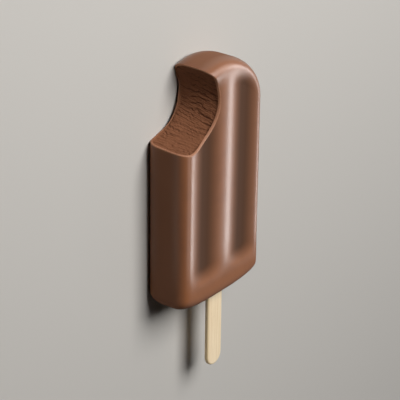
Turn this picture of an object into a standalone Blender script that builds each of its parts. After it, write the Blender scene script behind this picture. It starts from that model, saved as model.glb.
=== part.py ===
"""Chocolate ice cream bar on a flat wooden stick, lying on its back with one corner bitten off.

+X runs across the bar, +Y along it towards the arched tip, and +Z up, out of the upper broad
face. The stick leaves the foot of the bar towards -Y. The origin is the middle of the
bar's and the stick's common box, on the surface that they lie on.
"""
import bpy
import bmesh
import numpy as np
from math import pi

MM = 0.001

# The moulded bar. Its plan is a superelliptic foot, two straight sides and a superelliptic arch.
BAR_WIDTH = 51.5 * MM
BAR_LENGTH = 102.7 * MM
BAR_THICKNESS = 19.5 * MM
FOOT_HEIGHT = 7.9 * MM
FOOT_POWER = 3.06
ARCH_HEIGHT = 22.1 * MM
ARCH_POWER = 1.93

# Edge rounding, as a depth in the plan and a depth in the thickness, at sides, tip and foot.
SIDE_ROUND = (5.5 * MM, 5.0 * MM)
TIP_ROUND = (5.0 * MM, 6.9 * MM)
FOOT_ROUND = (7.3 * MM, 8.2 * MM)
SHOULDER = 0.77             # below 1, the rounding meets the broad face more softly than an ellipse does
END_SHARPNESS = 1.5         # how quickly the side's rounding gives way to that of the tip or the foot
LEAST_SQUARENESS = 0.6      # limits the steps where the outline runs almost towards the spine

# Two flutes run along each broad face and leave three soft lobes, which lean a little to the right.
FLUTE_PITCH = 24.0 * MM
FLUTE_ASIDE = (0.5 * MM, 1.9 * MM)      # of the middle lobe, at the foot and at the tip
FLUTE_DEPTH = 1.6 * MM
FLUTE_FOOT = (11.0 * MM, 19.0 * MM)
FLUTE_TIP = (3.0 * MM, 11.0 * MM)
REST_FLAT = 0.4 * MM

# A thin skin of chocolate goes all round the frozen core.
SKIN = 1.0 * MM
GAP = 0.3 * MM

# The bite is a round hole over the edge of the bar. It leans, and widens towards the back. Low ridges cross
# its wall.
BITE_CENTRE = (-22.9 * MM, 89.3 * MM)   # at mid thickness
BITE_RADIUS = 17.6 * MM
BITE_LEAN = (0.34, -0.227)              # shift of the centre for each unit of rise
BITE_TAPER = 0.123                      # loss of radius for each unit of rise
BITE_RIDGE = 0.35 * MM
BITE_RIDGES = 13
RIDGE_WANDER = 0.1          # radians of uneven spacing, three times round
RIDGE_SLANT = 0.6           # half turns of the wave between mid thickness and a face
BITE_HALF_DEPTH = 12.0 * MM

# The stick sits a little off the bar's middle.
STICK_LENGTH = 114.3 * MM
STICK_WIDTH = 9.5 * MM
STICK_THICKNESS = 1.9 * MM
STICK_SHOWING = 35.5 * MM
STICK_EDGE = 0.3 * MM
STICK_ASIDE = 4.1 * MM
STICK_FORWARD = 2.0 * MM

# Mesh fineness.
WELD_DISTANCE = 0.08 * MM
SEAM_DISTANCE = 0.001 * MM
SHARP_ANGLE = 0.7
OUTLINE_POINTS = 54
ROUND_RINGS = 4
FACE_RINGS = 9
BITE_POINTS = 84
BITE_RINGS = 11
TIP_POINTS = 11

# The bar's own frame starts at its foot and mid thickness; the part's origin lies here in it.
ORIGIN = np.array([0.0, (BAR_LENGTH - STICK_SHOWING) / 2, REST_FLAT - BAR_THICKNESS / 2])
SPINE = (20 * MM, 80 * MM)


def smooth_step(start, end, value):
    """0 before start, 1 past end, with a soft S between."""
    t = np.clip((value - start) / (end - start), 0, 1)
    return t * t * (3 - 2 * t)


def quarter(power, count=80):
    """A quarter of a unit superellipse, from its side (1, 0) to its top (0, 1)."""
    turn = np.linspace(0, pi / 2, count)
    return np.cos(turn) ** (2 / power), np.sin(turn) ** (2 / power)


def bar_outline(count):
    """Plan outline points and outward normals, anticlockwise from the middle of the foot."""
    half = BAR_WIDTH / 2
    foot_x, foot_y = quarter(FOOT_POWER)
    arch_x, arch_y = quarter(ARCH_POWER)
    x = half * np.concatenate([foot_x[::-1], arch_x])
    y = np.concatenate([FOOT_HEIGHT * (1 - foot_y[::-1]), BAR_LENGTH - ARCH_HEIGHT * (1 - arch_y)])
    # points are shared out half by length and half by how far the outline turns
    dx, dy = np.diff(x), np.diff(y)
    length = np.hypot(dx, dy)
    heading = np.unwrap(np.arctan2(dy, dx))
    turning = np.abs(np.gradient(heading))
    share = np.concatenate([[0], np.cumsum(length / length.sum() + turning / turning.sum())])
    stops = np.linspace(0, share[-1], count // 2 + 1)
    right = np.column_stack([np.interp(stops, share, x), np.interp(stops, share, y)])
    left = right[-2:0:-1] * [-1, 1]
    points = np.vstack([right, left])
    along = np.roll(points, -1, axis=0) - np.roll(points, 1, axis=0)
    normals = np.column_stack([along[:, 1], -along[:, 0]])
    return points, normals / np.linalg.norm(normals, axis=1)[:, None]


def flute_depth(x, y):
    """How far the flutes lie below the lobes: a cosine wave across the bar, faded out at both ends."""
    across = np.clip(np.abs(x) / (BAR_WIDTH / 2), 0, 1)
    arch = BAR_LENGTH - ARCH_HEIGHT * (1 - (1 - across ** ARCH_POWER) ** (1 / ARCH_POWER))
    lobe_x = FLUTE_ASIDE[0] + (FLUTE_ASIDE[1] - FLUTE_ASIDE[0]) * y / BAR_LENGTH
    wave = (1 - np.cos(2 * pi * (x - lobe_x) / FLUTE_PITCH)) / 2
    return FLUTE_DEPTH * wave * smooth_step(*FLUTE_FOOT, y) * smooth_step(*FLUTE_TIP, arch - y)


def bar_rings():
    """Rings from the spine of the lower face, out round the edge, to the spine of the upper face."""
    points, normals = bar_outline(OUTLINE_POINTS)
    tip = np.clip(normals[:, 1], 0, 1) ** END_SHARPNESS
    foot = np.clip(-normals[:, 1], 0, 1) ** END_SHARPNESS
    inward, depth = (side + (top - side) * tip + (base - side) * foot
                     for side, top, base in zip(SIDE_ROUND, TIP_ROUND, FOOT_ROUND))
    spine = np.column_stack([np.zeros(len(points)), np.clip(points[:, 1], *SPINE)])
    # rings step from the outline straight towards the spine, so they never fold over each other
    to_spine = spine - points
    squareness = -(to_spine * normals).sum(axis=1) / np.linalg.norm(to_spine, axis=1)
    squareness = np.clip(squareness, LEAST_SQUARENESS, 1)
    to_spine /= (np.linalg.norm(to_spine, axis=1) * squareness)[:, None]
    half = BAR_THICKNESS / 2
    upper = []
    for turn in np.linspace(0, pi / 2, ROUND_RINGS + 1):
        plan = points + to_spine * (inward * (1 - np.cos(turn) ** SHOULDER))[:, None]
        height = half - depth * (1 - np.sin(turn)) - flute_depth(*plan.T) * np.sin(turn)
        upper.append(np.column_stack([plan, height]))
    for step in np.linspace(0, 1, FACE_RINGS + 1)[1:]:
        between = plan + (spine - plan) * step
        upper.append(np.column_stack([between, half - flute_depth(*between.T)]))
    lower = []
    for ring in upper[:0:-1]:
        mirrored = ring * [1, 1, -1]
        mirrored[:, 2] = np.maximum(mirrored[:, 2], REST_FLAT - half)
        lower.append(mirrored)
    return lower + upper


def bite_rings():
    """Leaning stack of rings; the ridges slant across the wall and fade towards both faces."""
    turn = np.linspace(0, 2 * pi, BITE_POINTS, endpoint=False)
    rings = []
    for level in np.linspace(-1, 1, BITE_RINGS):
        phase = BITE_RIDGES * (turn + RIDGE_WANDER * np.sin(3 * turn)) + pi * RIDGE_SLANT * level
        rise = level * BITE_HALF_DEPTH
        radius = BITE_RADIUS - BITE_TAPER * rise + BITE_RIDGE * np.sin(phase) * np.cos(level * pi / 2)
        x = BITE_CENTRE[0] + BITE_LEAN[0] * rise + radius * np.cos(turn)
        y = BITE_CENTRE[1] + BITE_LEAN[1] * rise + radius * np.sin(turn)
        rings.append(np.column_stack([x, y, np.full(BITE_POINTS, rise)]))
    return rings


def loft(name, rings, inset=0.0, capped=False):
    """Mesh object through a stack of rings; inset moves every face inward along its normal."""
    mesh = bpy.data.meshes.new(name)
    bm = bmesh.new()
    rows = [[bm.verts.new(point - ORIGIN) for point in ring] for ring in rings]
    for low, high in zip(rows, rows[1:]):
        for i in range(len(low)):
            bm.faces.new((low[i - 1], low[i], high[i], high[i - 1]))
    if capped:
        bm.faces.new(rows[0][::-1])
        bm.faces.new(rows[-1])
    bmesh.ops.remove_doubles(bm, verts=bm.verts, dist=SEAM_DISTANCE)
    bmesh.ops.recalc_face_normals(bm, faces=bm.faces)
    bm.normal_update()
    moved = [(vert, vert.co - vert.normal * inset) for vert in bm.verts]
    for vert, place in moved:
        vert.co = place
    bm.to_mesh(mesh)
    bm.free()
    return bpy.data.objects.new(name, mesh)


def flat_stick(name, grow=0.0):
    """Round-ended flat stick from an extruded outline with eased edges, enlarged all round by grow."""
    half = STICK_WIDTH / 2 + grow
    reach = STICK_LENGTH / 2 - STICK_WIDTH / 2
    turn = np.linspace(0, pi, TIP_POINTS)
    ends = [(half * np.cos(a), reach + half * np.sin(a)) for a in turn]
    ends += [(-x, -y) for x, y in ends]
    curve = bpy.data.curves.new(name, 'CURVE')
    curve.dimensions = '2D'
    curve.fill_mode = 'BOTH'
    spline = curve.splines.new('POLY')
    spline.points.add(len(ends) - 1)
    for point, (x, y) in zip(spline.points, ends):
        point.co = (x, y, 0, 1)
    spline.use_cyclic_u = True
    edge = 0.0 if grow else STICK_EDGE
    curve.extrude = STICK_THICKNESS / 2 + grow - edge
    curve.bevel_depth = edge
    curve.bevel_resolution = 1
    curve.offset = -edge
    outline = bpy.data.objects.new(name, curve)
    parts.objects.link(outline)
    graph = bpy.context.evaluated_depsgraph_get()
    mesh = bpy.data.meshes.new_from_object(outline.evaluated_get(graph))
    bpy.data.objects.remove(outline)
    bm = bmesh.new()
    bm.from_mesh(mesh)
    bmesh.ops.remove_doubles(bm, verts=bm.verts, dist=SEAM_DISTANCE)
    bmesh.ops.recalc_face_normals(bm, faces=bm.faces)
    bm.to_mesh(mesh)
    bm.free()
    mesh.name = name
    stick = bpy.data.objects.new(name, mesh)
    foot_end = -STICK_SHOWING + STICK_LENGTH / 2
    stick.location = np.array([STICK_ASIDE, foot_end, STICK_FORWARD]) - ORIGIN
    return stick


def as_cutter(cutter):
    """Keep a cutting shape out of the finished part."""
    cutter.hide_render = True
    cutter.display_type = 'WIRE'
    cutters.objects.link(cutter)
    return cutter


def cut(piece, *tools):
    """Take each tool away from the piece, then weld the slivers that the cuts leave."""
    for tool in tools:
        boolean = piece.modifiers.new(tool.name, 'BOOLEAN')
        boolean.operation = 'DIFFERENCE'
        boolean.solver = 'EXACT'
        boolean.object = tool
    weld = piece.modifiers.new('weld', 'WELD')
    weld.merge_threshold = WELD_DISTANCE


def finish(piece, name, colour, roughness):
    """Give a piece its material and smooth shading, and list it with the parts."""
    material = bpy.data.materials.new(name)
    material.use_nodes = True
    shader = material.node_tree.nodes['Principled BSDF']
    shader.inputs['Base Color'].default_value = (*colour, 1)
    shader.inputs['Roughness'].default_value = roughness
    shader.inputs['Metallic'].default_value = 0
    piece.data.materials.clear()
    piece.data.materials.append(material)
    piece.data.shade_smooth()
    piece.data.set_sharp_from_angle(angle=SHARP_ANGLE)
    parts.objects.link(piece)


for old in list(bpy.data.objects):
    bpy.data.objects.remove(old)

parts = bpy.data.collections.new('ice_cream_bar')
cutters = bpy.data.collections.new('cutters')
for group in (parts, cutters):
    bpy.context.scene.collection.children.link(group)

bar = bar_rings()
inside = as_cutter(loft('inside_of_skin', bar, inset=SKIN))
bite = as_cutter(loft('bite', bite_rings(), capped=True))
slot = as_cutter(flat_stick('stick_slot', grow=GAP))

coating = loft('coating', bar)
cut(coating, bite, slot, inside)
finish(coating, 'coating', (0.238, 0.107, 0.058), 0.35)

core = loft('ice_cream', bar, inset=SKIN + GAP)
cut(core, bite, slot)
finish(core, 'ice_cream', (0.117, 0.051, 0.028), 0.8)

stick = flat_stick('stick')
finish(stick, 'stick', (0.896, 0.768, 0.521), 0.6)
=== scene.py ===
import math

import bmesh
import bpy
import numpy as np
from mathutils import Matrix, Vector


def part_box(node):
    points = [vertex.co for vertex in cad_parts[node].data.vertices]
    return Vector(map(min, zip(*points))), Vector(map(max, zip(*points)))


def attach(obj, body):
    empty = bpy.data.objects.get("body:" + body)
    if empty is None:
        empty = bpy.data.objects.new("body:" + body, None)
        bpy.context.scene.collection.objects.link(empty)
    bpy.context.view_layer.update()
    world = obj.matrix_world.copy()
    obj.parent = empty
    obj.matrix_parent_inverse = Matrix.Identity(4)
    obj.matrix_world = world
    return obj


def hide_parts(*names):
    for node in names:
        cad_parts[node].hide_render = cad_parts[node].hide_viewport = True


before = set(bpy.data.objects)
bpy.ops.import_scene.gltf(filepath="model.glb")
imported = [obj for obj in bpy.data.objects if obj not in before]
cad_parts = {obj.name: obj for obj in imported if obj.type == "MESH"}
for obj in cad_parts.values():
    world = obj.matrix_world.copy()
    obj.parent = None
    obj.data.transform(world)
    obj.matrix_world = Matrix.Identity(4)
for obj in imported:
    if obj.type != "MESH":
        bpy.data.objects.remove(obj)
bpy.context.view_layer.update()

mm = 0.001
fullTurn = 2 * math.pi
mergeWithin = 1e-6       # metres


def smoothStep(start, end, value):
    # 0 before start, 1 past end, 3t^2 - 2t^3 between, where t is the share of the way
    t = np.clip((value - start) / (end - start), 0, 1)
    return t * t * (3 - 2 * t)


def between(pair, share):
    # a straight blend from the pair's first to its second
    return pair[0] + (pair[1] - pair[0]) * share


def gridFaces(rowCount, columnCount):
    # four corners of every cell of a grid of points whose last column joins its first
    index = np.arange(rowCount * columnCount).reshape(rowCount, columnCount)
    onward = np.roll(index, -1, axis=1)
    return np.stack([index[:-1], index[1:], onward[1:], onward[:-1]], axis=-1)


def meshFrom(name, points, faces, attributes, slots=None):
    # Millimetre points and four-cornered faces become a smooth mesh, with named values at its points.
    # slots says which material each face takes. Doubles at seams and poles are merged.
    mesh = bpy.data.meshes.new(name)
    flat = faces.reshape(-1, 4)
    mesh.vertices.add(len(points))
    mesh.vertices.foreach_set("co", (points * mm).astype(np.float32).ravel())
    mesh.loops.add(flat.size)
    mesh.loops.foreach_set("vertex_index", flat.astype(np.int32).ravel())
    mesh.polygons.add(len(flat))
    mesh.polygons.foreach_set("loop_start", np.arange(0, flat.size, 4, dtype=np.int32))
    if slots is not None:
        mesh.polygons.foreach_set("material_index", slots.astype(np.int32))
    mesh.update(calc_edges=True)
    for label, values in attributes.items():
        mesh.attributes.new(label, "FLOAT", "POINT").data.foreach_set("value", values.astype(np.float32))
    work = bmesh.new()
    work.from_mesh(mesh)
    bmesh.ops.remove_doubles(work, verts=work.verts, dist=mergeWithin)
    loose = [vert for vert in work.verts if not vert.link_faces]
    bmesh.ops.delete(work, geom=loose, context="VERTS")
    bmesh.ops.recalc_face_normals(work, faces=work.faces)
    work.to_mesh(mesh)
    work.free()
    mesh.shade_smooth()
    piece = bpy.data.objects.new(name, mesh)
    bpy.context.scene.collection.objects.link(piece)
    return piece


def patchNoise(u, v, seed, size=64):
    # random heights on a lattice of unit cells, blended inside each cell by 3t^2 - 2t^3 both ways. The
    # lattice repeats after size cells.
    table = np.random.default_rng(seed).uniform(-1, 1, (size, size))
    i, j = np.floor(u).astype(int), np.floor(v).astype(int)
    a, b = u - i, v - j
    a, b = a * a * (3 - 2 * a), b * b * (3 - 2 * b)
    i0, i1, j0, j1 = i % size, (i + 1) % size, j % size, (j + 1) % size
    low = table[i0, j0] * (1 - a) + table[i1, j0] * a
    high = table[i0, j1] * (1 - a) + table[i1, j1] * a
    return low * (1 - b) + high * b


def tone(hexColour):
    # sRGB hex colour to linear RGBA
    parts = [int(hexColour[i:i + 2], 16) / 255 for i in (1, 3, 5)]
    return tuple(p / 12.92 if p <= 0.04045 else ((p + 0.055) / 1.055) ** 2.4 for p in parts) + (1.0,)


def addNode(tree, kind, settings=None, links=None):
    # a node with its settings, by property or by input, and the sockets that feed it
    made = tree.nodes.new(kind)
    for label, value in (settings or {}).items():
        if isinstance(label, str) and hasattr(made, label):
            setattr(made, label, value)
        else:
            made.inputs[label].default_value = value
    for label, source in (links or {}).items():
        tree.links.new(source, made.inputs[label])
    return made


def newMaterial(name):
    # the material, its node tree and its shader
    material = bpy.data.materials.new(name)
    material.use_nodes = True
    return material, material.node_tree, material.node_tree.nodes["Principled BSDF"]


# the bar's own shape in millimetres, from the middle of its foot, shared by skin and core
low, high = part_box("coating")
barShape = {
    "halfWidth": (high.x - low.x) / 2 / mm,
    "length": (high.y - low.y) / mm,
    "restFlat": 0.4,                             # shaved off the crests of the back, where it lies
    "footHeight": 7.9, "footPower": 3.06,        # superelliptic foot
    "archHeight": 22.1, "archPower": 1.93,       # superelliptic tip
    "sideRound": (5.5, 5.0),                     # edge rounding, across the plan and through the thickness
    "tipRound": (5.0, 6.9),
    "footRound": (7.3, 8.2),
    "shoulder": 0.77,                            # below 1, it meets the broad face softly
    "endSharpness": 1.5,                         # how soon the side's rounding gives way to the ends' own
    "leastSquareness": 0.6,                      # limits steps where the outline runs almost to the middle
    "flutePitch": 24.0, "fluteDepth": 1.6,
    "fluteAside": (0.5, 1.9),                    # of the middle lobe, at the foot and at the tip
    "fluteFoot": (11.0, 19.0), "fluteTip": (3.0, 11.0),
    "spineFoot": (0.0, 20.0), "spineTip": (6.0, 90.0),   # the line that the faces' rows start from
    "aimSpan": (20.0, 80.0),                     # part of the length that the edge's rows run in towards
    "outlinePoints": (600, 4001),                # worked out on each curved end, then spread over a half
}
barShape["halfThickness"] = ((high.z - low.z) / mm + barShape["restFlat"]) / 2
footAt = np.array([(low.x + high.x) / 2 / mm, low.y / mm, high.z / mm - barShape["halfThickness"]])

biteShape = {
    "centre": (-22.9, 89.3), "radius": 17.6,     # at mid thickness
    "lean": (0.34, -0.227), "taper": 0.123,      # per millimetre of rise
    # places round the outline, as barOutline's q: one that is bitten away, and one kept on either side
    "bittenAt": 0.62, "keptBelow": 0.85, "keptAbove": 0.5,
    "facing": (62.0, 98.0),                      # stretch of the right side whose columns face the bite's
    "halvings": 40, "settlings": 6,              # steps of the searches for its ends and for its height
}


def barOutline(inset):
    # Half of the plan outline, from the middle of the foot round the right side to the tip: a
    # superelliptic foot, a straight side and a superelliptic arch. Its parameter q runs from 0 to 0.5,
    # shared out half by length and half by how far the outline turns. The left half mirrors it, 0.5 to 1.
    onEnd, onHalf = barShape["outlinePoints"]
    turn = np.linspace(0, math.pi / 2, onEnd)
    half = barShape["halfWidth"] - inset
    foot = barShape["footHeight"] - inset
    arch = barShape["archHeight"] - inset
    footX, footY = (part ** (2 / barShape["footPower"]) for part in (np.cos(turn), np.sin(turn)))
    archX, archY = (part ** (2 / barShape["archPower"]) for part in (np.cos(turn), np.sin(turn)))
    x = half * np.concatenate([footX[::-1], archX])
    y = np.concatenate([inset + foot * (1 - footY[::-1]), barShape["length"] - inset - arch * (1 - archY)])
    dx, dy = np.diff(x), np.diff(y)
    length = np.hypot(dx, dy)
    turning = np.abs(np.gradient(np.unwrap(np.arctan2(dy, dx))))
    share = np.concatenate([[0], np.cumsum(length / length.sum() + turning / turning.sum())])
    q = share / share[-1] / 2
    fine = np.linspace(0, 0.5, onHalf)
    x, y = np.interp(fine, q, x), np.interp(fine, q, y)
    normalX, normalY = np.gradient(y), -np.gradient(x)
    size = np.hypot(normalX, normalY)
    return fine, x, y, normalX / size, normalY / size


def fluteMask(x, y):
    # 0 on the lobes, 1 in the middle of the flutes: a cosine wave across the bar, faded out at both ends
    across = np.clip(np.abs(x) / barShape["halfWidth"], 0, 1)
    archPower = barShape["archPower"]
    arch = barShape["length"] - barShape["archHeight"] * (1 - (1 - across ** archPower) ** (1 / archPower))
    lobeX = between(barShape["fluteAside"], y / barShape["length"])
    wave = (1 - np.cos(fullTurn * (x - lobeX) / barShape["flutePitch"])) / 2
    return wave * smoothStep(*barShape["fluteFoot"], y) * smoothStep(*barShape["fluteTip"], arch - y)


def edgeSurface(outline, inset, q, turn, level):
    # Points of the rounded edge, with the depth of its rounding. q goes round the plan; turn goes from 90
    # degrees at a broad face down to 0 at the side; level is +1 above, -1 below and between on the straight
    # side. A point steps in from the outline by the rounding's width times 1 - cos(turn)^shoulder, and
    # rises by sin(turn) times its depth less the flute's. Width and depth blend from side to tip and foot.
    fine, x, y, normalX, normalY = outline
    mirror = np.where((q > 0.5) | (q < 0), -1.0, 1.0)
    near = np.where(q > 0.5, 1 - q, np.abs(q))
    px, py = np.interp(near, fine, x), np.interp(near, fine, y)
    nx, ny = np.interp(near, fine, normalX), np.interp(near, fine, normalY)
    tip = np.clip(ny, 0, 1) ** barShape["endSharpness"]
    foot = np.clip(-ny, 0, 1) ** barShape["endSharpness"]
    across, depth = (side - inset + (top - side) * tip + (base - side) * foot for side, top, base in
                     zip(barShape["sideRound"], barShape["tipRound"], barShape["footRound"]))
    # every point steps straight towards the middle line, so rows never fold over each other
    toX, toY = -px, np.clip(py, *barShape["aimSpan"]) - py
    reach = np.hypot(toX, toY)
    square = np.clip(-(toX * nx + toY * ny) / reach, barShape["leastSquareness"], 1)
    step = across * (1 - np.cos(turn) ** barShape["shoulder"]) / (reach * square)
    px, py = mirror * (px + toX * step), py + toY * step
    half = barShape["halfThickness"] - inset
    rise = np.sin(turn) * (depth - barShape["fluteDepth"] * fluteMask(px, py))
    return px, py, level * (half - depth) + np.sign(level) * rise, depth


def biteAt(z, grow):
    # centre and radius of the bite's round section at height z, both linear in z
    centreX, centreY = (middle + lean * z for middle, lean in zip(biteShape["centre"], biteShape["lean"]))
    return centreX, centreY, biteShape["radius"] - biteShape["taper"] * z + grow


def crossing(outline, inset, grow, keptAt, turn, level):
    # where each row of the edge meets the bite, by halving between a kept and a bitten place
    kept, bitten = np.full(turn.shape, keptAt), np.full(turn.shape, biteShape["bittenAt"])
    for _ in range(biteShape["halvings"]):
        middle = (kept + bitten) / 2
        x, y, z, _ = edgeSurface(outline, inset, middle, turn, level)
        centreX, centreY, radius = biteAt(z, grow)
        outside = np.hypot(x - centreX, y - centreY) > radius
        kept, bitten = np.where(outside, middle, kept), np.where(outside, bitten, middle)
    return kept


def biteWall(outline, inset, grow, ends, share, turn, level):
    # The bitten wall, a piece of a leaning cone: on each row its angle goes evenly from one end to the
    # other. Its height follows the flutes where it stands, so place and height settle in a few steps.
    ax, ay, az, aDepth = edgeSurface(outline, inset, ends[0], turn, level)
    bx, by, bz, bDepth = edgeSurface(outline, inset, ends[1], turn, level)
    aX, aY, _ = biteAt(az, grow)
    bX, bY, _ = biteAt(bz, grow)
    angle = between((np.arctan2(ay - aY, ax - aX), np.arctan2(by - bY, bx - bX)), share)
    depth = between((aDepth, bDepth), share)
    half = barShape["halfThickness"] - inset
    z = between((az, bz), share)
    for _ in range(biteShape["settlings"]):
        centreX, centreY, radius = biteAt(z, grow)
        x, y = centreX + radius * np.cos(angle), centreY + radius * np.sin(angle)
        rise = np.sin(turn) * (depth - barShape["fluteDepth"] * fluteMask(x, y))
        z = level * (half - depth) + np.sign(level) * rise
    return x, y, z, angle


def broadFace(spine, rim, rowCount, inset, up):
    # rows from the middle line straight out towards a broad face's rim, sunk by the flutes
    steps = np.linspace(0, 1, rowCount + 1)[:-1, None, None]
    plan = spine + (rim[:, :2] - spine) * steps
    sunk = barShape["fluteDepth"] * fluteMask(plan[..., 0], plan[..., 1])
    z = up * (barShape["halfThickness"] - inset - sunk)
    return np.concatenate([plan, z[..., None]], axis=-1)


def barGrid(counts, inset, grow):
    # One grid over the whole bitten bar. Columns go round it: foot, right side, tip, bite, left side.
    # Rows go from the middle line of the upper face out over the edge and back to that of the lower face.
    # inset shrinks the bar all round, grow enlarges the bite.
    outline = barOutline(inset)
    bend = np.linspace(math.pi / 2, 0, counts["round"] + 1)
    straight = np.linspace(1, -1, counts["side"] + 1)[1:-1]
    turn = np.concatenate([bend, np.zeros(len(straight)), bend[::-1]])[:, None]
    level = np.concatenate([np.ones(len(bend)), straight, -np.ones(len(bend))])[:, None]
    lowShare = np.linspace(0, 1, counts["low"] + 1)[:-1]
    biteShare = np.linspace(0, 1, counts["bite"] + 1)
    tipShare = np.linspace(0, 1, counts["tip"] + 1)[1:]
    # the right half's columns face the left half's across the middle line
    facingQ = np.interp(biteShape["facing"], outline[2], outline[0])
    rightQ = np.concatenate([facingQ[0] * lowShare, between(facingQ, biteShare),
                             between((facingQ[1], 0.5), tipShare)])
    rightQ = np.broadcast_to(rightQ, (len(turn), len(rightQ)))
    right = edgeSurface(outline, inset, rightQ, turn, level)[:3]
    # the left half goes up from the foot, along the bite's wall and on to the tip, then is turned round
    # to go on from where the right half ends
    lowerQ = crossing(outline, inset, grow, biteShape["keptBelow"], turn, level)
    upperQ = crossing(outline, inset, grow, biteShape["keptAbove"], turn, level)
    lowPart = edgeSurface(outline, inset, between((1, lowerQ), lowShare), turn, level)[:3]
    tipPart = edgeSurface(outline, inset, between((upperQ, 0.5), tipShare), turn, level)[:3]
    *wall, wallAngle = biteWall(outline, inset, grow, (lowerQ, upperQ), biteShare, turn, level)
    left = [np.hstack(parts)[:, 1:-1][:, ::-1] for parts in zip(lowPart, wall, tipPart)]
    edge = np.stack([np.hstack(parts) for parts in zip(right, left)], axis=-1)
    # the middle line, with both halves' columns on the same places
    spineFoot, spineTip = barShape["spineFoot"], barShape["spineTip"]
    share = np.clip((right[1][0] - spineFoot[1]) / (spineTip[1] - spineFoot[1]), 0, 1)
    spine = np.outer(1 - share, spineFoot) + np.outer(share, spineTip)
    spine = np.vstack([spine, spine[1:-1][::-1]])
    upper = broadFace(spine, edge[0], counts["face"], inset, 1)
    lower = broadFace(spine, edge[-1], counts["face"], inset, -1)[::-1]
    points = np.concatenate([upper, edge, lower])
    # the crests of the back are flat where it lies
    points[..., 2] = np.maximum(points[..., 2], barShape["restFlat"] - barShape["halfThickness"] + inset)
    firstColumn = counts["low"] + counts["bite"] + 2 * counts["tip"]
    wallColumns = slice(firstColumn, firstColumn + counts["bite"] + 1)
    wallRows = slice(counts["face"], counts["face"] + len(turn))
    return points, wallRows, wallColumns, wallAngle[:, ::-1]


skin = {
    "thickness": 0.8,                    # millimetres
    "lip": 0.5, "lipRings": 6,           # how far its broken edge is eased round the bite
    "creaseAngle": 60.0,                 # degrees; past this an edge stays sharp, as inside the lip
    "counts": {"low": 100, "bite": 110, "tip": 20, "face": 30, "round": 14, "side": 8},
    # groove: painted shade, a darker brown laid in the flutes
    "lobe": "#905b3a", "groove": "#50311c", "cloud": "#815134",
    "side": "#855c46",                   # painted shade: a greyer brown on the sides and ends, the hue of their shade
    "broken": "#ac785a",
    "grooveShadeLevels": (0.1, 0.95),         # painted shade: where in a flute its darker colour sets in and is full
    "glossFoot": (8.0, 28.0),            # where the shine sets in, from the foot
    "glossSide": (0.2, 0.8),             # and up the side, as a share of half the thickness
    "sideShadeLevels": (0.5, 1.0),             # where the sides' painted shade colour ends, as such a share
    "glossFall": 2.5,                    # how soon the shine gives way to the flutes
    "polished": 0.36,                    # its roughness
    "dull": 0.7, "ior": 1.15,            # of all below it; frost takes most of the mirror away
    # patterns: cell size in millimetres, and the noise levels that bring a colour in, with its most
    "clouds": {"grain": 7.0, "detail": 3.0}, "cloudLevels": (0.45, 0.75, 0.5),
    "fine": {"grain": 0.5, "detail": 3.0}, "fineBump": 0.06,
    "crumbs": {"grain": 0.3, "detail": 3.0, "rough": 0.6}, "crumbLevels": (0.35, 0.7), "crumbBump": 0.3,
    "bumpHeight": 0.1,
}


def openEdge(block):
    # the points round the edge of a block of the grid, in order
    return np.concatenate([block[0, :-1], block[:-1, -1], block[-1, :0:-1], block[:0:-1, 0]])


def buildSkin():
    # An outer and an inner surface, both open at the bite, joined there by an eased lip: a quarter ellipse
    # that leaves the outer surface straight on and ends square on the inner one.
    outer, wallRows, wallColumns, _ = barGrid(skin["counts"], 0.0, skin["lip"])
    inner = barGrid(skin["counts"], skin["thickness"], 0.0)[0]
    corner = barGrid(skin["counts"], 0.0, 0.0)[0]
    outerEdge, innerEdge, cornerEdge = (openEdge(part[wallRows, wallColumns])
                                        for part in (outer, inner, corner))
    bend = np.linspace(0, math.pi / 2, skin["lipRings"] + 1)[:, None, None]
    lip = (outerEdge + innerEdge - cornerEdge + (cornerEdge - innerEdge) * np.cos(bend)
           + (cornerEdge - outerEdge) * np.sin(bend))
    faces = gridFaces(*outer.shape[:2])
    keep = np.ones(faces.shape[:2], bool)
    keep[wallRows.start:wallRows.stop - 1, wallColumns.start:wallColumns.stop - 1] = False
    shell, lipFaces = faces[keep], gridFaces(*lip.shape[:2]).reshape(-1, 4)
    points = np.concatenate([part.reshape(-1, 3) for part in (outer, inner, lip)])
    count = outer.shape[0] * outer.shape[1]
    faces = np.concatenate([shell, shell + count, lipFaces + 2 * count])
    slots = np.repeat([0, 1], [2 * len(shell), len(lipFaces)])       # the skin, then its broken edge
    groove = fluteMask(points[:, 0], points[:, 1])
    height = np.abs(points[:, 2]) / barShape["halfThickness"]
    polish = (1 - groove) ** skin["glossFall"] * smoothStep(*skin["glossFoot"], points[:, 1])
    polish = polish * smoothStep(*skin["glossSide"], height)
    # painted shade: the sides and ends fade into the greyer brown
    side = 1 - smoothStep(*skin["sideShadeLevels"], height)
    piece = meshFrom("chocolateSkin", points + footAt, faces,
                     {"groove": groove, "polish": polish, "side": side}, slots)
    piece.data.set_sharp_from_angle(angle=math.radians(skin["creaseAngle"]))
    return piece


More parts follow.
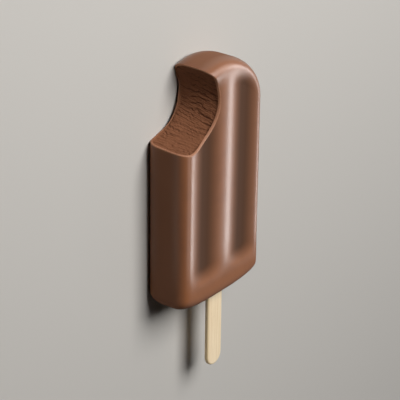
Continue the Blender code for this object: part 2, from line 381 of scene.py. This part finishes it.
core = {
    "inset": 0.7,                        # its sides lie just inside the skin's inner face
    "recess": 0.15,                      # the bitten wall lies this far behind the skin's broken edge
    "counts": {"low": 36, "bite": 320, "tip": 10, "face": 5, "round": 32, "side": 48},
    # the torn wall: spacing along the arc and depth of its three kinds of ledge, in millimetres
    "ledges": ((2.4, 0.22), (1.3, 0.16), (0.7, 0.1)),
    "riser": 0.2,                        # share of a ledge's spacing taken by its steep step
    "slant": 0.12,                       # how far the ledges lean as they cross the thickness
    # noise that sways the ledges and brings them in: cells along the arc and through the thickness, and
    # how far it sways them, as shares of their spacing
    "sways": ({"cell": (2.0, 2.0), "seed": 20, "by": 0.3}, {"cell": (1.0, 0.5), "seed": 30, "by": 0.24}),
    "patches": {"cell": (1.6, 2.2), "seed": 40},
    "often": (-0.6, 0.25),               # noise levels between which a ledge comes in
    "leastDrop": 0.25,                   # share of its depth that stays where it is out
    "crease": 0.1, "creaseWidth": 0.07,  # depth, and width as a share of the spacing
    "hollows": {"cell": (6.0, 6.0), "seed": 50, "by": 0.4},
    "grains": ({"cell": (0.5, 0.5), "seed": 60, "by": 1.0}, {"cell": (0.28, 0.28), "seed": 61, "by": 0.6}),
    "grain": 0.07,                       # depth of the grain
    "fade": 0.6,                         # the relief comes in over this much of the wall, from its rim
    "creaseShadeStrength": (0.35, 1.1),                # painted shade: how dark the creases are, at the foot end and at the tip end, which is turned from the light
    # painted shade in the hollows of the grain
    "grainShade": 0.15,
    # the second colour is painted shade in the creases and hollows
    "body": "#81543b", "creaseShade": "#482b1d",
    "rough": 0.8, "ior": 1.2,
    "fine": {"grain": 0.35, "detail": 4.0, "rough": 0.6}, "fineBump": 0.4, "bumpHeight": 0.1,
}


def wallNoise(kind, along, height, unit=1.0, layer=0):
    # smooth noise over the bitten wall, in cells of the kind's two sizes times unit
    length, rise = kind["cell"]
    return patchNoise(along / (length * unit), height / (rise * unit), kind["seed"] + layer)


def tornRelief(along, height):
    # Depth of the torn wall in millimetres. Along the arc it sinks slowly, then steps back up at a ledge:
    # a sawtooth of a distance that noise sways, so the ledges wander as they cross the thickness. A crease
    # follows the foot of each step, and noise makes steps and creases come and go. Grain lies over all.
    depth, creases = 0, 0
    riser = core["riser"]
    for layer, (spacing, drop) in enumerate(core["ledges"]):
        sway = along + core["slant"] * height
        for kind in core["sways"]:
            sway = sway + kind["by"] * spacing * wallNoise(kind, along, height, spacing, layer)
        t = np.mod(sway / spacing, 1)
        saw = np.where(t < 1 - riser, t / (1 - riser), (1 - t) / riser)
        present = smoothStep(*core["often"], wallNoise(core["patches"], along, height, spacing, layer))
        depth = depth + drop * saw * between((core["leastDrop"], 1), present)
        crease = np.exp(-((t - 1 + riser) / core["creaseWidth"]) ** 2) * present
        creases = np.maximum(creases, crease * drop / core["ledges"][0][1])
    depth = depth + core["crease"] * creases
    depth = depth + core["hollows"]["by"] * wallNoise(core["hollows"], along, height)
    grain = sum(kind["by"] * wallNoise(kind, along, height) for kind in core["grains"])
    return depth + core["grain"] * grain, creases, grain


def buildCore():
    # The bar's grid, shrunk to lie inside the skin. Its bitten wall is pushed in by the torn relief,
    # straight away from the bite's middle, and each point of it gets painted shade, darkest in its creases
    # and hollows.
    points, wallRows, wallColumns, angle = barGrid(core["counts"], core["inset"], core["recess"])
    wall = points[wallRows, wallColumns]
    along = angle * biteShape["radius"]
    depth, creases, grain = tornRelief(along, wall[..., 2])
    # the relief fades out where the wall meets the skin
    fromEnd = np.minimum(np.abs(along - along[:, :1]), np.abs(along - along[:, -1:]))
    fromFace = np.minimum(np.abs(wall[..., 2] - wall[:1, :, 2]), np.abs(wall[..., 2] - wall[-1:, :, 2]))
    fade = smoothStep(0, core["fade"], np.minimum(fromEnd, fromFace))
    wall[..., 0] += fade * depth * np.cos(angle)
    wall[..., 1] += fade * depth * np.sin(angle)
    points[wallRows, wallColumns] = wall
    creaseShade = np.zeros(points.shape[:2])
    share = (along - along[:, -1:]) / (along[:, :1] - along[:, -1:])
    # painted shade: the creases, darker towards the tip end, and the hollows of the grain
    creaseShadeStrength = between(core["creaseShadeStrength"], share) * creases + core["grainShade"] * np.maximum(grain, 0)
    creaseShade[wallRows, wallColumns] = fade * np.clip(creaseShadeStrength, 0, 1)
    return meshFrom("frozenCore", points.reshape(-1, 3) + footAt, gridFaces(*points.shape[:2]),
                    {"creaseShade": creaseShade.ravel()})


stickLow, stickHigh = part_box("stick")
stick = {
    "halfLength": (stickHigh.y - stickLow.y) / 2 / mm,
    "halfWidth": (stickHigh.x - stickLow.x) / 2 / mm,
    "halfThickness": (stickHigh.z - stickLow.z) / 2 / mm,
    "ease": 0.75,                        # tumbled edges, millimetres
    "sideColumns": 160, "endColumns": 36, "faceRings": 8, "edgeRings": 5,
    "pale": "#efd6ac", "grain": "#dfc08c", "pore": "#b89767",
    "rough": 0.6,
    # fine grain and short pores, drawn out along the stick
    "streaks": {"grain": 0.5, "detail": 3.0, "rough": 0.6, "stretch": (1, 40, 1)},
    "pores": {"grain": 0.16, "detail": 1.0, "stretch": (1, 14, 1)},
    "streakLevels": (0.35, 0.75), "poreLevels": (0.68, 0.8, 0.5),
    "bump": 0.2, "bumpHeight": 0.05,
}


def buildStick():
    # A profile carried along a path. The path is the stick's middle line, there and back with a half turn
    # at each end; the profile goes out over the face, round the eased edge and back under it.
    reach = stick["halfLength"] - stick["halfWidth"]
    there = np.linspace(-reach, reach, stick["sideColumns"])
    half = np.linspace(0, math.pi, stick["endColumns"] + 2)[1:-1]
    alongY = np.concatenate([there, np.full(len(half), reach), there[::-1], np.full(len(half), -reach)])
    facing = np.concatenate([0 * there, half, 0 * there + math.pi, half + math.pi])
    bend = np.linspace(math.pi / 2, 0, stick["edgeRings"] + 1)
    flat = stick["halfWidth"] - stick["ease"]
    out = np.concatenate([np.linspace(0, flat, stick["faceRings"])[:-1],
                          flat + stick["ease"] * np.cos(bend)])
    up = stick["halfThickness"] - np.concatenate([np.zeros(stick["faceRings"] - 1),
                                                  stick["ease"] * (1 - np.sin(bend))])
    out, up = np.concatenate([out, out[::-1]]), np.concatenate([up, -up[::-1]])
    x = out[:, None] * np.cos(facing)
    y = alongY + out[:, None] * np.sin(facing)
    z = np.broadcast_to(up[:, None], x.shape)
    centre = np.array((stickLow + stickHigh) / 2) / mm
    points = np.stack([x, y, z], axis=-1).reshape(-1, 3) + centre
    return meshFrom("birchStick", points, gridFaces(*x.shape), {})


def objectNoise(tree, grain, detail, rough=0.5, stretch=(1, 1, 1)):
    # noise whose cells are about grain millimetres wide, stretched along the object's axes
    where = addNode(tree, "ShaderNodeTexCoord")
    scaled = addNode(tree, "ShaderNodeMapping", {"Scale": [1 / (s * grain * mm) for s in stretch]},
                     {"Vector": where.outputs["Object"]})
    return addNode(tree, "ShaderNodeTexNoise", {"Scale": 1.0, "Detail": detail, "Roughness": rough},
                   {"Vector": scaled.outputs["Vector"]}).outputs["Fac"]


def levels(low, high, most=1.0):
    # settings of a Map Range node that turns low to high into none to most
    return {"From Min": low, "From Max": high, "To Max": most}


def layColours(tree, base, layers):
    # the base colour, then each layer's colour over what is there, as strongly as the layer's mask says
    factor, below, above, result = 0, 6, 7, 2        # sockets of a Mix node that blends colours
    under = {}
    for mask, colour in layers:
        mix = addNode(tree, "ShaderNodeMix", {"data_type": "RGBA", below: tone(base), above: tone(colour)},
                      {factor: mask, **under})
        under = {below: mix.outputs[result]}
    return mix.outputs[result]


def milkChocolateSkin():
    # moulded milk chocolate, frozen: smooth and satin, with a soft gloss where the lobes have been rubbed
    material, tree, shader = newMaterial("mouldedMilkChocolate")
    groove, polish, side = (addNode(tree, "ShaderNodeAttribute", {"attribute_name": name}).outputs["Fac"]
                            for name in ("groove", "polish", "side"))
    cloud = addNode(tree, "ShaderNodeMapRange", levels(*skin["cloudLevels"]),
                    {"Value": objectNoise(tree, **skin["clouds"])}).outputs["Result"]
    grooveShade = addNode(tree, "ShaderNodeMapRange", levels(*skin["grooveShadeLevels"]),
                   {"Value": groove}).outputs["Result"]
    # painted shade: a darker brown in the flutes and a greyer one on the sides and ends
    colour = layColours(tree, skin["lobe"],
                        [(cloud, skin["cloud"]), (side, skin["side"]), (grooveShade, skin["groove"])])
    tree.links.new(colour, shader.inputs["Base Color"])
    # the gloss is a second, smoother layer of fat that only the rubbed lobes keep
    tree.links.new(polish, shader.inputs["Coat Weight"])
    shader.inputs["Coat Roughness"].default_value = skin["polished"]
    shader.inputs["Roughness"].default_value = skin["dull"]
    shader.inputs["IOR"].default_value = skin["ior"]
    bump = addNode(tree, "ShaderNodeBump",
                   {"Strength": skin["fineBump"], "Distance": skin["bumpHeight"] * mm},
                   {"Height": objectNoise(tree, **skin["fine"])})
    tree.links.new(bump.outputs["Normal"], shader.inputs["Normal"])
    return material


def brokenMilkChocolate():
    # the snapped edge of the skin: paler and matt, with a sandy break
    material, tree, shader = newMaterial("brokenMilkChocolate")
    crumbs = objectNoise(tree, **skin["crumbs"])
    mask = addNode(tree, "ShaderNodeMapRange", levels(*skin["crumbLevels"]), {"Value": crumbs})
    colour = layColours(tree, skin["broken"], [(mask.outputs["Result"], skin["lobe"])])
    tree.links.new(colour, shader.inputs["Base Color"])
    shader.inputs["Roughness"].default_value = skin["dull"]
    bump = addNode(tree, "ShaderNodeBump",
                   {"Strength": skin["crumbBump"], "Distance": skin["bumpHeight"] * mm},
                   {"Height": crumbs})
    tree.links.new(bump.outputs["Normal"], shader.inputs["Normal"])
    return material


def frozenChocolate():
    # churned and frozen, torn by teeth: matt, with painted shade in its creases and hollows
    material, tree, shader = newMaterial("tornFrozenChocolate")
    creaseShade = addNode(tree, "ShaderNodeAttribute", {"attribute_name": "creaseShade"}).outputs["Fac"]
    tree.links.new(layColours(tree, core["body"], [(creaseShade, core["creaseShade"])]), shader.inputs["Base Color"])
    shader.inputs["Roughness"].default_value = core["rough"]
    shader.inputs["IOR"].default_value = core["ior"]
    bump = addNode(tree, "ShaderNodeBump",
                   {"Strength": core["fineBump"], "Distance": core["bumpHeight"] * mm},
                   {"Height": objectNoise(tree, **core["fine"])})
    tree.links.new(bump.outputs["Normal"], shader.inputs["Normal"])
    return material


def slicedBirch():
    # rotary-cut birch, tumbled smooth: pale, with fine straight grain and short pores along its length
    material, tree, shader = newMaterial("tumbledBirch")
    streaks = objectNoise(tree, **stick["streaks"])
    grain = addNode(tree, "ShaderNodeMapRange", levels(*stick["streakLevels"]), {"Value": streaks})
    pores = addNode(tree, "ShaderNodeMapRange", levels(*stick["poreLevels"]),
                    {"Value": objectNoise(tree, **stick["pores"])})
    colour = layColours(tree, stick["pale"], [(grain.outputs["Result"], stick["grain"]),
                                              (pores.outputs["Result"], stick["pore"])])
    tree.links.new(colour, shader.inputs["Base Color"])
    shader.inputs["Roughness"].default_value = stick["rough"]
    bump = addNode(tree, "ShaderNodeBump",
                   {"Strength": stick["bump"], "Distance": stick["bumpHeight"] * mm}, {"Height": streaks})
    tree.links.new(bump.outputs["Normal"], shader.inputs["Normal"])
    return material


chocolateSkin = buildSkin()
chocolateSkin.data.materials.append(milkChocolateSkin())
chocolateSkin.data.materials.append(brokenMilkChocolate())
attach(chocolateSkin, "root")
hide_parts("coating")
print("skin made:", len(chocolateSkin.data.polygons), "faces")

frozenCore = buildCore()
frozenCore.data.materials.append(frozenChocolate())
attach(frozenCore, "root")
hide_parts("ice_cream")
print("core made:", len(frozenCore.data.polygons), "faces")

birchStick = buildStick()
birchStick.data.materials.append(slicedBirch())
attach(birchStick, "root")
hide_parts("stick")
print("stick made:", len(birchStick.data.polygons), "faces")


studio = {
    "floor": "#c8c4be", "floorSize": 3.0,            # metres
    "floorRough": 0.9, "floorShine": 0.1,
    "wall": "#b0ada8", "wallRadius": 1.45, "wallHeights": (-0.01, 1.5), "wallSides": 96,
    "air": "#ffffff", "airStrength": 0.01,
    "turn": 52.634, "rise": 25.441, "roll": 0.714,   # the view's angles round the bar, degrees
    "distance": 0.7126, "aim": (0.01151, 0.00005, -0.00196),
    "lens": 156.47, "sensor": 36.0,                  # millimetres
    "nearest": 0.01,
    # each box of light: where it stands from the bar, its length along the bar and width, its watts
    "lampDistance": 0.9,
    "lights": {
        "ridgeStrip": {"toward": (0.84, -0.3, 0.46), "size": (1.2, 0.16), "power": 8.2, "onlyShine": True},
        "tipBox": {"toward": (0.70, 0.38, 0.60), "size": (0.65, 0.6), "power": 4.2, "onlyShine": True},
        "shoulderBox": {"toward": (0.15, -0.2, 0.95), "size": (1.2, 0.35), "power": 2.3, "onlyShine": True},
        "topBox": {"toward": (0.1, 0.62, 0.78), "size": (0.55, 0.55), "power": 9.7, "onlyShine": False},
    },
}


def placed(name, data, columns, place):
    # an object at place, turned so that its own axes are the given columns
    made = bpy.data.objects.new(name, data)
    bpy.context.scene.collection.objects.link(made)
    rows = [[column[i] for column in columns] + [place[i]] for i in range(3)]
    made.matrix_world = Matrix(rows + [[0, 0, 0, 1]])
    return made


def buildFloor():
    # a square of matt painted board
    half = studio["floorSize"] / 2
    mesh = bpy.data.meshes.new("floor")
    mesh.from_pydata([(-half, -half, 0), (half, -half, 0), (half, half, 0), (-half, half, 0)], [],
                     [(0, 1, 2, 3)])
    floor = bpy.data.objects.new("floor", mesh)
    bpy.context.scene.collection.objects.link(floor)
    material, _, shader = newMaterial("paintedFloor")
    shader.inputs["Base Color"].default_value = tone(studio["floor"])
    shader.inputs["Roughness"].default_value = studio["floorRough"]
    shader.inputs["Specular IOR Level"].default_value = studio["floorShine"]
    mesh.materials.append(material)


def buildWall():
    # A round pale wall inside the floor's edge. It glows evenly and lights nothing, so that low views end
    # in a plain ground and the bar's light stays that of the lamps.
    angle = np.linspace(0, fullTurn, studio["wallSides"] + 1)[:-1]
    x, y = studio["wallRadius"] * np.cos(angle), studio["wallRadius"] * np.sin(angle)
    z = np.array(studio["wallHeights"])[:, None]
    points = np.stack(np.broadcast_arrays(x, y, z), axis=-1).reshape(-1, 3)
    wall = meshFrom("wall", points / mm, gridFaces(2, len(angle)), {})
    material, _, shader = newMaterial("evenlyLitPaper")
    shader.inputs["Base Color"].default_value = (0, 0, 0, 1)
    shader.inputs["Emission Color"].default_value = tone(studio["wall"])
    shader.inputs["Emission Strength"].default_value = 1.0
    wall.data.materials.append(material)
    wall.visible_diffuse = False
    wall.visible_glossy = False
    wall.visible_shadow = False


def buildLights():
    # each lamp faces the bar, its long side level with the bar's length
    for name, box in studio["lights"].items():
        light = bpy.data.lights.new(name, "AREA")
        light.shape = "RECTANGLE"
        light.size, light.size_y = box["size"]
        light.energy = box["power"]
        back = np.array(box["toward"], float) / np.linalg.norm(box["toward"])
        side = np.array([0.0, 1.0, 0.0]) - back * back[1]
        side /= np.linalg.norm(side)
        lamp = placed(name, light, (side, np.cross(back, side), back), back * studio["lampDistance"])
        lamp.visible_camera = False
        lamp.visible_diffuse = not box["onlyShine"]
    world = bpy.data.worlds.new("studioAir")
    world.use_nodes = True
    air = world.node_tree.nodes["Background"]
    air.inputs["Color"].default_value = tone(studio["air"])
    air.inputs["Strength"].default_value = studio["airStrength"]
    bpy.context.scene.world = world


def buildCamera():
    # It stands back from its aim. Turned round the bar's length, raised towards the tip and rolled, it
    # keeps the bar's own frame: back points from the bar to it, right along its picture's lower edge.
    turn, rise, roll = (math.radians(studio[key]) for key in ("turn", "rise", "roll"))
    back = np.array([-math.sin(turn) * math.cos(rise), math.sin(rise), math.cos(turn) * math.cos(rise)])
    level = np.array([math.cos(turn), 0, math.sin(turn)])
    right = math.cos(roll) * level + math.sin(roll) * np.cross(back, level)
    data = bpy.data.cameras.new("camera")
    data.lens = studio["lens"]
    data.sensor_width = studio["sensor"]
    data.clip_start = studio["nearest"]
    place = np.array(studio["aim"]) + back * studio["distance"]
    bpy.context.scene.camera = placed("camera", data, (right, np.cross(back, right), back), place)


buildFloor()
buildWall()
buildLights()
buildCamera()
bpy.context.scene.view_settings.view_transform = "Standard"
print("floor, lights and camera placed")
